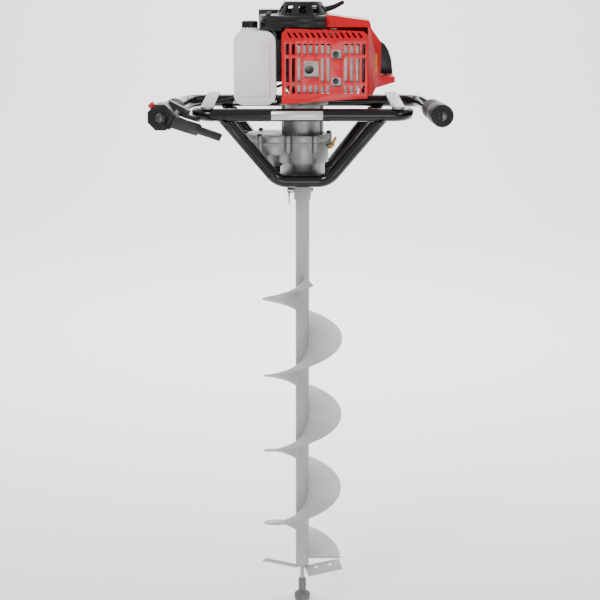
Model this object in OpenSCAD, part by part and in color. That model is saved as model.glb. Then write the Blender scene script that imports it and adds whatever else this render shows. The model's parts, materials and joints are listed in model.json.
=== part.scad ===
// Petrol ice auger: engine head on a two-handed tube frame, reduction gearbox, and an earth or ice screw.
// The drive axis is Z through the origin, and the origin is at the bottom of the cap on the screw's point.

/* [Auger screw] */
// Diameter that the screw cuts
auger_d = 150; // [120:1:190]
// Height that the flight climbs in one turn
flight_pitch = 150; // [125:1:180]
// Thickness of the flight plate
flight_t = 3.5; // [2.5:0.5:5]
// Height of the flight's lower end above the point
flight_base_z = 92; // [88:1:110]
// Turns of the flight
flight_turns = 3.8; // [2.5:0.1:4.2]
// Outer diameter of the screw's tube
tube_d = 25.5; // [22:0.5:29]
// Outer diameter of the socket that takes the output shaft
socket_d = 31; // [29:0.5:36]
// Length of the cutting edges, measured along the edge
blade_chord = 24; // [18:1:30]
// Diameter of the spike that centres the hole
spike_d = 8; // [6:0.5:10]

/* [Gearbox] */
// Diameter of the output shaft
shaft_d = 20; // [18:0.5:22]
// Distance between the drive axis and the layshaft
gear_centres = 52.5; // [50:0.5:58]
// Teeth on the input pinion
input_teeth = 10; // [10:1:14]
// Teeth on the layshaft's large gear
lay_gear_teeth = 60; // [52:1:60]
// Teeth on the layshaft's pinion
lay_pinion_teeth = 14; // [13:1:18]
// Teeth on the output gear
output_teeth = 56; // [48:1:57]
// Wall of the gear case
case_wall = 2.7; // [2.5:0.1:4]
// Outer diameter of the case's lower barrel
barrel_d = 81; // [76:1:88]

/* [Frame] */
// Outer diameter of every frame tube
frame_tube_d = 22; // [20:0.5:25]
// Wall of the frame tubes
frame_tube_wall = 2; // [1.5:0.25:3]
// Half the distance between the front bar and the handle bar
bar_y = 95; // [92:1:104]
// Height of the front bar's axis
front_bar_z = 970; // [966:1:972]
// Height of the handle bar's axis
handle_bar_z = 976; // [972:1:978]
// Half the length of the front bar
front_bar_half = 178; // [165:1:190]
// Half the distance between the handle bar's corners
handle_corner_x = 217; // [205:1:235]
// Half the distance between the ends of the handle tube
handle_end_x = 234; // [224:1:250]
// How far forward of the drive axis the handle tube ends
handle_end_y = 158; // [150:1:175]
// Height of the hoops' level run
hoop_z = 849; // [847:1:851]
// Distance of the hoops' level run from the drive axis
hoop_y = 60; // [58:1:66]
// Half the length of a hoop's level run, corner to corner
hoop_corner_x = 44; // [40:1:60]
// Half the distance between a hoop's ends
hoop_top_x = 146; // [130:1:155]

/* [Grips] */
// Outer diameter of the rubber grips
grip_d = 38; // [32:1:42]
// Length of the right grip
grip_len = 110; // [95:1:125]

/* [Engine] */
// Bore of the cylinder
bore_d = 44; // [38:0.5:46]
// Stroke of the piston
stroke = 34; // [28:1:36]
// Height of the cylinder's axis
cyl_z = 1050; // [1048:1:1052]
// Diameter of the crankshaft's journals
journal_d = 15; // [14:0.5:16]
// Diameter of the clutch drum
drum_d = 62; // [58:1:64]
// Diameter of the flywheel
flywheel_d = 86; // [76:1:87]
// Width of the muffler guard
guard_w = 148; // [140:1:152]
// Thickness of the plastic covers
cover_t = 2.5; // [2:0.25:3]
// Bore of the exhaust outlet
exhaust_d = 16; // [12:1:17]
// Diameter of the fuel cap
fuel_cap_d = 26; // [24:1:27]

/* [Fits] */
// Radial clearance of a shaft that turns in its bore
run_fit = 0.05; // [0.03:0.01:0.08]
// Gap between covers and what they enclose
air_gap = 0.4; // [0.3:0.1:0.6]
// Play between meshing teeth at the pitch circle
backlash = 0.6; // [0.6:0.05:0.8]

/* [Hidden] */
$fn = 64;

// Heights on the drive axis, from the screw's point to the starter
tip_cap_top = 48;
spike_bottom = 30;
tube_bottom = 80;
socket_bottom = 806;
socket_top = hoop_z - 7;
pin_z = 823;
pin_d = 7.8;
plate_top = hoop_z + 1;
plate_t = 5;
barrel_bottom = plate_top;
main_floor = 877;
lobe_floor = 894;
case_split = 915;
case_top = 927;
gasket_t = 0.5;
neck_top = 988;
crankcase_split = cyl_z;
crankcase_bottom = neck_top;
crankcase_top = 1094;
shroud_top = 1126;
recoil_flange_top = 1136;
recoil_top = 1159;

// Gears
main_r = 47;
lobe_r = 50;
lay_x = -gear_centres;
input_module = 2 * gear_centres / (input_teeth + lay_gear_teeth);
output_module = 2 * gear_centres / (lay_pinion_teeth + output_teeth);
pressure_angle = 25;
output_gear_z = 885;
output_gear_t = 12;
lay_gear_z = 901;
lay_gear_t = 10;
lay_d = 12;
input_z = 900;
input_t = 12;

// Bearings as outer diameter, bore and width
output_bearing = [47, shaft_d, 13];
lay_low_bearing = [21, 8, 6];
lay_high_bearing = [28, lay_d, 8];
input_bearing = [32, journal_d, 9];
crank_bearing = [35, journal_d, 11];
barrel_bearing_1 = barrel_bottom + 5;
barrel_bearing_2 = barrel_bearing_1 + 14;

// Clutch
neck_r = 36.7;
drum_z = 944;
drum_h = 29;
drum_wall = 2.5;
shoe_r = drum_d / 2 - drum_wall - 1.6;
shoe_z = 952;
shoe_t = 18;

// Engine
throw = stroke / 2;
rod_len = 58;
pin_x = throw + rod_len;
piston_skirt = 15;
piston_crown = 16;
web_r = 25;
web_t = 9;
web_gap = 20;
crank_room_r = 29;
cyl_base_x = 40;
fin_first_x = 60;
fin_pitch = 6.5;
fin_count = 8;
fin_size = 80;
head_x = pin_x + piston_crown + 2;
cyl_r = bore_d / 2 + 4;

// Covers
guard_left = -36;
guard_right = guard_left + guard_w;
guard_front = -100;
guard_back = -47;
guard_bottom = 989;
guard_top = 1116;
hood_left = 40;
hood_back = 60;
slot_pitch = 10;
slot_w = 5.2;
slot_first = guard_left + 7.5;
muffler_front = -88;
muffler_back = -46;
muffler_left = -13;
muffler_right = 96;
muffler_bottom = 1007;
muffler_top = 1088;
outlet_x = 11;
outlet_z = 1047.5;
port_x = 57;
stud_dz = 22.8;
port_r = 8;

// Handle tube: a corner, then a run that splays out to the grip
splay = atan((handle_end_x - handle_corner_x) / (handle_end_y + bar_y));
tube_r = frame_tube_d / 2;
bead_w = 1.2;
bead_t = 0.12;
weld_gap = 0.5;

// Throttle handle on the left tube
housing_d = 42;
housing_len = 52;
lever_tilt = 27;
lever_rest = 42;
lever_pivot = [-222, -181, 971];
safety_pivot = [-208, -150, 964];

// Starter
pulley_r = 30;
pulley_z = 1138;
rope_d = 3.5;
rope_z = pulley_z + 4.5;
starter_grip_y = 56;

// Fuel tank
tank_box = [[-120, -60, 983], [-47, 44, 1110]];
cap_x = -93;
cap_y = -14;
cap_z = 1112;

// The throttle cable's route, from the throttle housing to the carburettor
cable_d = 6;
cable_route = [
    [-203.2, -140.9, 986.5], [-203.2, -130, 986.5], [-203, -112, 985], [-202.5, -90, 981], [-202,
        -68, 977.5],
    [-202, -44, 975.5], [-202, -16, 975], [-197, 12, 975], [-184, 34, 975], [-162, 50, 976], [-138,
        58, 980],
    [-112, 61, 990], [-84, 61, 1006], [-56, 60, 1022], [-30, 62, 1038], [-8, 66, 1050], [12, 70, 1056],
    [28, 72, 1058], [43.8, 72, 1058]];

// The fuel line's route, from the tank's outlet to the carburettor
fuel_route = [
    [-60, 44.2, 1000], [-60, 52, 1000], [-50, 62, 1003], [-30, 68, 1010], [-8, 70, 1020], [12, 70,
        1032],
    [28, 70, 1040], [36, 70, 1042], [43.7, 70, 1042]];

// ---------- shared shapes ----------

module rod_x(r, x0, x1) { translate([x0, 0, 0]) rotate([0, 90, 0]) cylinder(r = r, h = x1 - x0); }

module rod_y(r, y0, y1) { translate([0, y1, 0]) rotate([90, 0, 0]) cylinder(r = r, h = y1 - y0); }

module block(low, high) { translate(low) cube(high - low); }

module ring(ro, ri, z0, h) {
    translate([0, 0, z0]) difference() {
        cylinder(r = ro, h = h);
        translate([0, 0, -1]) cylinder(r = ri, h = h + 2);
    }
}

// A bent tube in the XY plane: straight runs between the corner points, and an arc at each corner
function heading(a, b) = atan2(b[1] - a[1], b[0] - a[0]);
function turn_at(p, i) =
    let (t = heading(p[i], p[i + 1]) - heading(p[i - 1], p[i]))
        t > 180 ? t - 360 : t < -180 ? t + 360 : t;
function trim_at(p, i, bend) = i == 0 || i == len(p) - 1 ? 0 : bend * tan(abs(turn_at(p, i)) / 2);

module tube_section() {
    difference() {
        circle(r = tube_r);
        circle(r = tube_r - frame_tube_wall);
    }
}

module tube_run(p, i, bend) {
    t0 = trim_at(p, i, bend);
    t1 = trim_at(p, i + 1, bend);
    translate([p[i][0], p[i][1], 0])
        rotate([0, 0, heading(p[i], p[i + 1])])
        translate([t0, 0, 0])
        rotate([0, 90, 0])
        linear_extrude(height = norm(p[i + 1] - p[i]) - t0 - t1)
        tube_section();
}

module tube_bend(p, i, bend) {
    turn = turn_at(p, i);
    way = heading(p[i - 1], p[i]);
    start = p[i] - trim_at(p, i, bend) * [cos(way), sin(way)];
    centre = start + sign(turn) * bend * [-sin(way), cos(way)];
    translate([centre[0], centre[1], 0])
        rotate([0, 0, turn > 0 ? way - 90 : way + 90 + turn])
        rotate_extrude(angle = abs(turn))
        translate([bend, 0])
        tube_section();
}

// A thin bead where a run meets a bend, which makes them one solid
module tube_bead(p, i, at) {
    translate([p[i][0], p[i][1], 0])
        rotate([0, 0, heading(p[i], p[i + 1])])
        translate([at - bead_w / 2, 0, 0])
        rotate([0, 90, 0])
        linear_extrude(height = bead_w)
        difference() {
            circle(r = tube_r + bead_t);
            circle(r = tube_r - frame_tube_wall - bead_t);
        }
}

module bent_tube(p, bend) {
    last = len(p) - 1;
    for (i = [0 : last - 1]) tube_run(p, i, bend);
    for (i = [1 : last - 1]) tube_bend(p, i, bend);
    for (i = [0 : last - 1]) {
        if (i > 0) tube_bead(p, i, trim_at(p, i, bend));
        if (i < last - 1) tube_bead(p, i, norm(p[i + 1] - p[i]) - trim_at(p, i + 1, bend));
    }
}

// Involute spur gear, with a tooth centred on +X
function inv(a) = tan(a) * 180 / PI - a;
function tooth_half(r, m, z) =
    let (rb = m * z / 2 * cos(pressure_angle), a = r > rb ? acos(rb / r) : 0)
    90 / z - backlash / 2 / (m * z) * 180 / PI + inv(pressure_angle) - inv(a);
function polar(r, a) = [r * cos(a), r * sin(a)];

module gear_outline(m, z, add) {
    rt = m * z / 2 + add * m;
    rr = m * z / 2 - 1.25 * m;
    rb = m * z / 2 * cos(pressure_angle);
    low = max(rr + 0.05, rb);
    steps = 3;
    polygon([for (i = [0 : z - 1])
        let (c = i * 360 / z)
        each concat(
            [polar(rr, c - tooth_half(low, m, z))],
            [for (k = [0 : steps]) let (r = low + (rt - low) * k / steps) polar(r, c - tooth_half(r,
                m, z))],
            [for (k = [steps : -1 : 0]) let (r = low + (rt - low) * k / steps) polar(r,
                c + tooth_half(r, m, z))],
            [polar(rr, c + tooth_half(low, m, z))])]);
}

// Turn that puts a gap between teeth towards -X, where the layshaft's teeth point
function gap_at_left(z) = 180 + 180 / z;

module gear(m, z, add, z0, h, bore) {
    translate([0, 0, z0]) difference() {
        linear_extrude(height = h) gear_outline(m, z, add);
        if (bore > 0) translate([0, 0, -1]) cylinder(r = bore, h = h + 2);
    }
}

// Ball bearing: two rings with a track between them, and balls in the track
module ball_bearing(size, z0) {
    ro = size[0] / 2;
    ri = size[1] / 2 + run_fit;
    h = size[2];
    mid = (ro + ri) / 2;
    ball = min(h * 0.32, (ro - ri) * 0.3);
    balls = 8;
    translate([0, 0, z0 + h / 2]) {
        rotate_extrude() difference() {
            translate([mid + ball * 0.6, -h / 2]) square([ro - mid - ball * 0.6, h]);
            translate([mid, 0]) circle(r = ball + 0.05);
        }
        rotate_extrude() difference() {
            translate([ri, -h / 2]) square([mid - ball * 0.6 - ri, h]);
            translate([mid, 0]) circle(r = ball + 0.05);
        }
        for (i = [0 : balls - 1]) rotate([0, 0, i * 360 / balls]) translate([mid, 0, 0])
            sphere(r = ball);
    }
}

module hex_bolt(d, head_h, len) {
    rotate([0, 0, 30]) cylinder(d = d * 1.8, h = head_h, $fn = 6);
    translate([0, 0, -len]) cylinder(d = d, h = len);
}

// ---------- frame ----------

front_bar_path = [
    [-front_bar_half - 6, 34], [-front_bar_half, 0], [front_bar_half, 0], [front_bar_half + 6, 34]];

module front_bar() {
    color("black") translate([0, -bar_y, front_bar_z]) bent_tube(front_bar_path, 26);
}

handle_path = [
    [-handle_end_x, -handle_end_y], [-handle_corner_x, bar_y], [handle_corner_x, bar_y],
    [handle_end_x, -handle_end_y]];

module handle_bar() {
    color("black") translate([0, 0, handle_bar_z]) bent_tube(handle_path, 42);
}

strap_x = 165;
strap_w = 22;
strap_t = 4;
strap_slope = atan((handle_bar_z - front_bar_z) / (2 * bar_y));

module side_straps() {
    color("gray")
    for (s = [-1, 1])
        translate([s * strap_x, 0, (front_bar_z + handle_bar_z) / 2 + tube_r])
            rotate([strap_slope, 0, 0])
            difference() {
                union() {
                    translate([-strap_w / 2, -bar_y, 0.05]) cube([strap_w, 2 * bar_y, strap_t]);
                    for (e = [-1, 1]) translate([0, e * bar_y, 0.05]) cylinder(d = strap_w,
                        h = strap_t);
                }
                for (e = [-1, 1]) translate([0, e * bar_y, -1]) cylinder(d = 5, h = strap_t + 2);
            }
}

hoop_side = norm([bar_y - hoop_y, handle_bar_z - hoop_z]);
hoop_lean = atan((bar_y - hoop_y) / (handle_bar_z - hoop_z));
hoop_path = [
    [-hoop_top_x, hoop_side], [-hoop_corner_x, 0], [hoop_corner_x, 0], [hoop_top_x, hoop_side]];

module hoop(bar_z) {
    difference() {
        translate([0, hoop_y, hoop_z]) rotate([90 - hoop_lean, 0, 0]) bent_tube(hoop_path, 33);
        block([-250, 0, bar_z - tube_r - weld_gap], [250, 200, bar_z + 60]);
    }
}

module front_hoop() { color("black") mirror([0, 1, 0]) hoop(front_bar_z); }

module rear_hoop() { color("black") hoop(handle_bar_z); }

plate_x = 50;
base_bolt_r = 33;

module base_plate() {
    color("black")
    difference() {
        block([-plate_x, -hoop_y, plate_top - plate_t], [plate_x, hoop_y, plate_top]);
        for (s = [-1, 1]) translate([0, s * hoop_y, hoop_z]) rod_x(tube_r + 0.05, -60, 60);
        translate([0, 0, plate_top - 20]) cylinder(r = shaft_d / 2 + 7, h = 40);
        for (a = [45 : 90 : 315]) rotate([0, 0, a]) translate([base_bolt_r, 0, plate_top - 20])
            cylinder(r = 3.2, h = 40);
    }
}

label_w = 89;
label_x = -54;
label_arc = 84;

module label_plate() {
    color("silver")
    translate([label_x, -bar_y, front_bar_z])
        rotate([0, 90, 0])
        rotate([0, 0, -90 - label_arc / 2])
        rotate_extrude(angle = label_arc)
        translate([tube_r + 0.05, 0])
        square([0.7, label_w]);
}

// ---------- gearbox ----------

case_bolt_spots = [
    [0, main_r + 1, 62], [0, main_r + 1, -62], [0, main_r + 1, 8], [1, lobe_r + 1, 118], [1,
        lobe_r + 1, -118],
    [1, lobe_r + 1, 180]];
waist_bolt = [-26, 45];

module case_bolt_places() {
    for (s = case_bolt_spots) translate([s[0] * lay_x, 0, 0]) rotate([0, 0, s[2]]) translate([s[1],
        0, 0]) children();
    for (s = [-1, 1]) translate([waist_bolt[0], s * waist_bolt[1], 0]) children();
}

module case_bosses(z0, z1) {
    case_bolt_places() translate([0, 0, z0]) cylinder(r = 6, h = z1 - z0);
}

module lower_gear_case() {
    color("lightgray")
    difference() {
        union() {
            translate([0, 0, main_floor]) cylinder(r = main_r, h = case_split - gasket_t - main_floor);
            translate([lay_x, 0, lobe_floor]) cylinder(r = lobe_r,
                h = case_split - gasket_t - lobe_floor);
            translate([0, 0, barrel_bottom]) cylinder(d = barrel_d, h = main_floor - barrel_bottom + 1);
            translate([lay_x, 0, 868]) cylinder(r = 15, h = lobe_floor - 868 + 1);
            case_bosses(898, case_split - gasket_t);
            for (a = [-40, -20, 0, 20])
                translate([lay_x, 0, 0]) rotate([0, 0, 180 + a]) rotate([90, 0, 0]) translate([0, 0,
                    -1.5])
                    linear_extrude(height = 3)
                    polygon([[13, 869], [17, 869], [42, 889], [42, 895], [13, 895]]);
        }
        translate([0, 0, main_floor + 4]) cylinder(r = main_r - case_wall, h = 60);
        translate([lay_x, 0, lobe_floor + 3]) cylinder(r = lobe_r - case_wall, h = 60);
        translate([lay_x, 0, 882]) cylinder(r = 13, h = 60);
        translate([lay_x, 0, 874]) cylinder(r = lay_low_bearing[0] / 2 + 0.02, h = 20);
        translate([0, 0, barrel_bearing_1]) cylinder(r = output_bearing[0] / 2 + 0.02, h = 60);
        translate([0, 0, barrel_bottom - 1]) cylinder(r = shaft_d / 2 + 6, h = 40);
        case_bolt_places() translate([0, 0, 890]) cylinder(r = 2.55, h = 60);
        for (a = [45 : 90 : 315]) rotate([0, 0, a]) translate([base_bolt_r, 0, barrel_bottom - 1])
            cylinder(r = 3.05, h = 14);
    }
}

module upper_gear_case() {
    color("lightgray")
    difference() {
        union() {
            translate([0, 0, case_split]) cylinder(r = main_r, h = case_top - case_split);
            translate([lay_x, 0, case_split]) cylinder(r = lobe_r, h = case_top - case_split);
            case_bosses(case_split, case_top);
        }
        translate([0, 0, case_split - 1]) cylinder(r = input_bearing[0] / 2 + 0.02,
            h = 1 + input_bearing[2] + 0.5);
        translate([0, 0, case_split - 1]) cylinder(r = input_bearing[1] / 2 + 4, h = 40);
        translate([lay_x, 0, case_split - 1]) cylinder(r = lay_high_bearing[0] / 2 + 0.02,
            h = 1 + lay_high_bearing[2]);
        case_bolt_places() translate([0, 0, case_split - 1]) cylinder(r = 2.7, h = 40);
        for (a = [20, 160, 200, 340]) rotate([0, 0, a]) translate([29, 0, case_top - 9])
            cylinder(r = 2.55, h = 20);
    }
}

module bearings() {
    color("silver") {
        ball_bearing(output_bearing, barrel_bearing_1);
        ball_bearing(output_bearing, barrel_bearing_2);
        translate([lay_x, 0, 0]) ball_bearing(lay_low_bearing, 874);
        translate([lay_x, 0, 0]) ball_bearing(lay_high_bearing, case_split);
        ball_bearing(input_bearing, case_split + 0.5);
        ball_bearing(input_bearing, 931);
        ball_bearing(crank_bearing, 1006);
        ball_bearing(crank_bearing, 1081);
    }
    color("black") {
        ring(shaft_d / 2 + 6 - 0.02, shaft_d / 2 + run_fit, barrel_bottom + 0.5, 4.4);
        ring(crank_bearing[0] / 2 - 5, journal_d / 2 + run_fit, 998, 6);
    }
}

module grease_fitting() {
    color("goldenrod")
    translate([main_r - 1, -8, 906]) {
        rod_x(3.9, 1.4, 8);
        translate([8, 0, 0]) sphere(r = 4);
        translate([8, 0, 0]) rotate([0, 22, 0]) cylinder(r = 2.8, h = 12);
        translate([8, 0, 0]) rotate([0, 22, 0]) translate([0, 0, 12]) cylinder(r1 = 3.4, r2 = 2, h = 4);
    }
}

module clutch_drum() {
    color("silver") {
        rotate([0, 0, gap_at_left(input_teeth)]) gear(input_module, input_teeth, 1, input_z,
            input_t, 0);
        translate([0, 0, input_z + input_t]) cylinder(d = journal_d, h = drum_z - input_z - input_t);
        translate([0, 0, drum_z]) cylinder(d = drum_d, h = 3);
        ring(drum_d / 2, drum_d / 2 - drum_wall, drum_z + 3, drum_h - 3);
    }
}

module layshaft() {
    color("silver")
    translate([lay_x, 0, 0]) {
        translate([0, 0, 874.5]) cylinder(d = 8, h = 8.5);
        gear(output_module, lay_pinion_teeth, 1, 883.5, 14, 0);
        translate([0, 0, 897.5]) cylinder(d = lay_d, h = 25);
    }
}

module layshaft_gear() {
    color("gray")
    translate([lay_x, 0, 0]) {
        difference() {
            gear(input_module, lay_gear_teeth, 0.85, lay_gear_z, lay_gear_t, lay_d / 2 + 0.02);
            for (a = [30 : 60 : 330]) rotate([0, 0, a]) translate([27, 0, lay_gear_z - 1])
                cylinder(r = 8, h = 20);
        }
    }
}

module output_gear() {
    color("gray")
    difference() {
        rotate([0, 0, gap_at_left(output_teeth)])
            gear(output_module, output_teeth, 0.95, output_gear_z, output_gear_t, shaft_d / 2 + 0.02);
        for (a = [0 : 60 : 300]) rotate([0, 0, a]) translate([25, 0, output_gear_z - 1])
            cylinder(r = 7, h = 20);
    }
}

module output_shaft() {
    color("silver")
    difference() {
        translate([0, 0, socket_bottom + 4]) cylinder(d = shaft_d,
            h = output_gear_z + output_gear_t - socket_bottom - 3);
        translate([0, 0, pin_z]) rod_x(pin_d / 2 + 0.1, -40, 40);
    }
}

module bolts() {
    color("dimgray") {
        case_bolt_places() translate([0, 0, case_top]) hex_bolt(5, 4, 26);
        for (a = [45 : 90 : 315]) rotate([0, 0, a]) translate([base_bolt_r, 0, plate_top - plate_t])
            mirror([0, 0, 1]) hex_bolt(6, 4, 15);
        for (a = [45 : 90 : 315]) rotate([0, 0, a]) translate([neck_flange_bolt_r, 0, neck_top + 6])
            hex_bolt(5, 4, 14);
        for (s = [-1, 1]) translate([port_x, muffler_front, cyl_z + s * stud_dz]) rotate([90, 0, 0])
            hex_bolt(6, 4, 52);
        recoil_bolt_places() translate([0, 0, recoil_flange_top]) hex_bolt(5, 4, 9);
    }
}

// ---------- clutch ----------

neck_flange_r = 46;
neck_flange_bolt_r = 41.3;

module clutch_housing() {
    color("lightgray")
    difference() {
        union() {
            translate([0, 0, case_top]) cylinder(r = neck_r, h = neck_top - case_top);
            translate([0, 0, neck_top - 8]) cylinder(r = neck_flange_r, h = 8);
            for (a = [20, 160, 200, 340]) rotate([0, 0, a]) translate([neck_r - 2, -4, case_top])
                cube([4, 8, 52]);
        }
        translate([0, 0, 930.5]) cylinder(r = input_bearing[0] / 2 + 0.02, h = 100);
        translate([0, 0, case_top - 1]) cylinder(r = input_bearing[1] / 2 + 4, h = 100);
        translate([0, 0, 941]) cylinder(r = drum_d / 2 + 1.5, h = 100);
        for (a = [45 : 90 : 315]) rotate([0, 0, a]) translate([neck_flange_bolt_r, 0,
            neck_top - 10]) cylinder(r = 2.55, h = 20);
    }
}

hub_r = 11.6;

module clutch_hub() {
    color("gray")
    difference() {
        union() {
            translate([0, 0, shoe_z]) cylinder(r = hub_r, h = shoe_t);
            for (s = [-1, 1]) translate([-4.5, s * 12 - 6, shoe_z + 2]) cube([9, 12, shoe_t - 4]);
        }
        translate([0, 0, shoe_z - 1]) cylinder(r = 6.02, h = shoe_t + 2);
    }
}

module clutch_shoe(s) {
    color("brown")
    translate([s * 0.3, 0, shoe_z])
    difference() {
        intersection() {
            cylinder(r = shoe_r, h = shoe_t);
            block([s > 0 ? 1.5 : -40, -40, -1], [s > 0 ? 40 : -1.5, 40, shoe_t + 1]);
        }
        translate([0, 0, -1]) cylinder(r = hub_r + 0.5, h = shoe_t + 2);
        block([-5.1, -19, -1], [5.1, 19, shoe_t + 1]);
    }
}

module clutch_shoe_left() { clutch_shoe(-1); }

module clutch_shoe_right() { clutch_shoe(1); }

// ---------- engine ----------

module crankcase_lower() {
    color("dimgray")
    difference() {
        union() {
            translate([0, 0, crankcase_bottom]) cylinder(r = neck_flange_r, h = 6);
            translate([0, 0, crankcase_bottom]) cylinder(r = 24, h = 20);
            translate([0, 0, 1016]) cylinder(r = 37, h = crankcase_split - 1016);
            translate([0, 0, 1000]) cylinder(r1 = 24, r2 = 37, h = 16);
            block([0, -30, 1018], [cyl_base_x, 30, crankcase_split]);
        }
        crank_room();
        translate([0, 0, 1005.5]) cylinder(r = crank_bearing[0] / 2 + 0.02, h = 12);
        translate([0, 0, 998]) cylinder(r = crank_bearing[0] / 2 - 5 + 0.02, h = 10);
        translate([0, 0, crankcase_bottom - 1]) cylinder(r = journal_d / 2 + 1, h = 40);
        for (a = [45 : 90 : 315]) rotate([0, 0, a]) translate([neck_flange_bolt_r, 0,
            crankcase_bottom - 2]) cylinder(r = 2.7, h = 20);
    }
}

module crank_room() {
    translate([0, 0, crankcase_split - 33]) cylinder(r = crank_room_r, h = 63.5);
    translate([0, 0, crankcase_split]) rod_x(bore_d / 2 + 0.5, 0, cyl_base_x + 1);
}

module crankcase_upper() {
    color("dimgray")
    difference() {
        union() {
            translate([0, 0, crankcase_split]) cylinder(r = 37, h = crankcase_top - crankcase_split);
            block([0, -30, crankcase_split], [cyl_base_x, 30, 1082]);
        }
        crank_room();
        translate([0, 0, 1080.5]) cylinder(r = crank_bearing[0] / 2 + 0.02, h = 12);
        translate([0, 0, 1070]) cylinder(r = journal_d / 2 + 1, h = 40);
    }
}

module crankshaft() {
    color("silver") {
        translate([0, 0, shoe_z - 1]) cylinder(r = 6, h = 43);
        translate([0, 0, shoe_z + 42]) cylinder(d = journal_d,
            h = cyl_z - web_gap / 2 - web_t - shoe_z - 42);
        for (s = [-1, 1]) translate([0, 0, cyl_z + s * (web_gap + web_t) / 2 - web_t / 2])
            cylinder(r = web_r, h = web_t);
        translate([0, 0, cyl_z + web_gap / 2 + web_t]) cylinder(d = journal_d,
            h = 1096 - cyl_z - web_gap / 2 - web_t);
        translate([0, 0, 1096]) cylinder(r = 6, h = 32);
    }
}

rod_t = 12;
crank_pin_r = 7;
wrist_r = 5.5;

module connecting_rod() {
    color("silver")
    translate([0, 0, cyl_z]) {
        difference() {
            union() {
                translate([throw, 0, -rod_t / 2]) cylinder(r = 11, h = rod_t);
                translate([pin_x, 0, -rod_t / 2]) cylinder(r = 8.5, h = rod_t);
                block([throw, -5, -4], [pin_x, 5, 4]);
            }
            translate([throw, 0, -20]) cylinder(r = crank_pin_r + run_fit, h = 40);
            translate([pin_x, 0, -20]) cylinder(r = wrist_r + run_fit, h = 40);
        }
        translate([throw, 0, -web_gap / 2 + 0.4]) cylinder(r = crank_pin_r, h = web_gap - 0.8);
        translate([pin_x, 0, -16]) cylinder(r = wrist_r, h = 32);
    }
}

module piston() {
    color("silver")
    translate([pin_x, 0, cyl_z])
    difference() {
        rod_x(bore_d / 2 - 0.06, -piston_skirt, piston_crown);
        rod_x(bore_d / 2 - 3, -piston_skirt - 1, piston_crown - 5);
        translate([0, 0, -40]) cylinder(r = wrist_r + 0.05, h = 80);
        for (x = [8, 12]) translate([x, 0, 0]) difference() {
            rod_x(bore_d, 0, 1.5);
            rod_x(bore_d / 2 - 1.8, -1, 3);
        }
    }
}

module cylinder_fins() {
    for (i = [0 : fin_count - 1])
        translate([fin_first_x + i * fin_pitch, -fin_size / 2, cyl_z - fin_size / 2]) cube([2,
            fin_size, fin_size]);
}

module cylinder_body() {
    translate([cyl_base_x, 0, cyl_z]) rod_x(cyl_r, 0,
        fin_first_x + fin_count * fin_pitch - cyl_base_x - 1);
    block([cyl_base_x, -30, cyl_z - 30], [cyl_base_x + 5, 30, cyl_z + 30]);
    cylinder_fins();
    block([port_x - 11, muffler_back + 0.1, cyl_z - 29], [port_x + 11, -20, cyl_z + 29]);
    block([46, 20, cyl_z - 15], [70, 46, cyl_z + 15]);
}

module engine_cylinder() {
    color("silver")
    difference() {
        cylinder_body();
        translate([0, 0, cyl_z]) rod_x(bore_d / 2, cyl_base_x - 1, head_x);
        translate([0, 0, cyl_z]) rod_x(7.05, head_x - 1, 200);
        translate([port_x, 0, cyl_z]) rod_y(port_r, muffler_back - 1, -10);
        for (s = [-1, 1]) translate([port_x, 0, cyl_z + s * stud_dz]) rod_y(3.05, muffler_back - 1,
            -24);
        translate([port_x, 0, cyl_z]) rod_y(8, 10, 60);
    }
}

plug_seat = fin_first_x + fin_count * fin_pitch - 1;

module spark_plug() {
    color("white")
    translate([0, 0, cyl_z]) {
        rod_x(7, head_x - 2, plug_seat);
        translate([plug_seat, 0, 0]) rotate([0, 90, 0]) cylinder(r = 9, h = 7, $fn = 6);
        rod_x(5, plug_seat + 7, plug_seat + 22);
        rod_x(3, plug_seat + 22, plug_seat + 28);
    }
}

module plug_cap() {
    color("black")
    difference() {
        intersection() {
            translate([0, 16, 0]) rotate([90, 0, 0]) linear_extrude(height = 32)
                polygon([[131, 1034], [136, 1091], [145, 1086], [152, 1075], [157, 1060], [160, 1034]]);
            translate([96, 0, cyl_z + 8]) rod_x(36, 0, 80);
        }
        translate([0, 0, cyl_z]) rod_x(5.3, 100, plug_seat + 29);
    }
}

// ---------- flywheel, ignition, starter ----------

fly_z = 1101;

module flywheel() {
    color("silver") {
        difference() {
            union() {
                translate([0, 0, fly_z]) cylinder(d = flywheel_d, h = 4);
                translate([0, 0, fly_z]) cylinder(r = 14, h = 22);
                for (i = [0 : 11]) rotate([0, 0, i * 30]) translate([16, -1, fly_z + 3])
                    cube([flywheel_d / 2 - 18, 2, 14]);
            }
            translate([0, 0, fly_z - 1]) cylinder(r = 6.02, h = 40);
        }
        translate([0, 0, fly_z + 22.1]) ring(11, 6.02, 0, 4);
    }
}

module ignition_coil() {
    color("dimgray") {
        block([flywheel_d / 2 + air_gap, -14, fly_z - 6], [flywheel_d / 2 + 6, 14, fly_z + 10]);
        block([flywheel_d / 2 + 6, -10, fly_z - 2], [flywheel_d / 2 + 18, 10, fly_z + 12]);
    }
}

shroud_low_r = 46.4;
shroud_r = 77;

shroud_floor = 1111;

module recoil_bolt_places() {
    for (a = [110, 149, 211, 285]) rotate([0, 0, a]) translate([70, 0, 0]) children();
}

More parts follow.
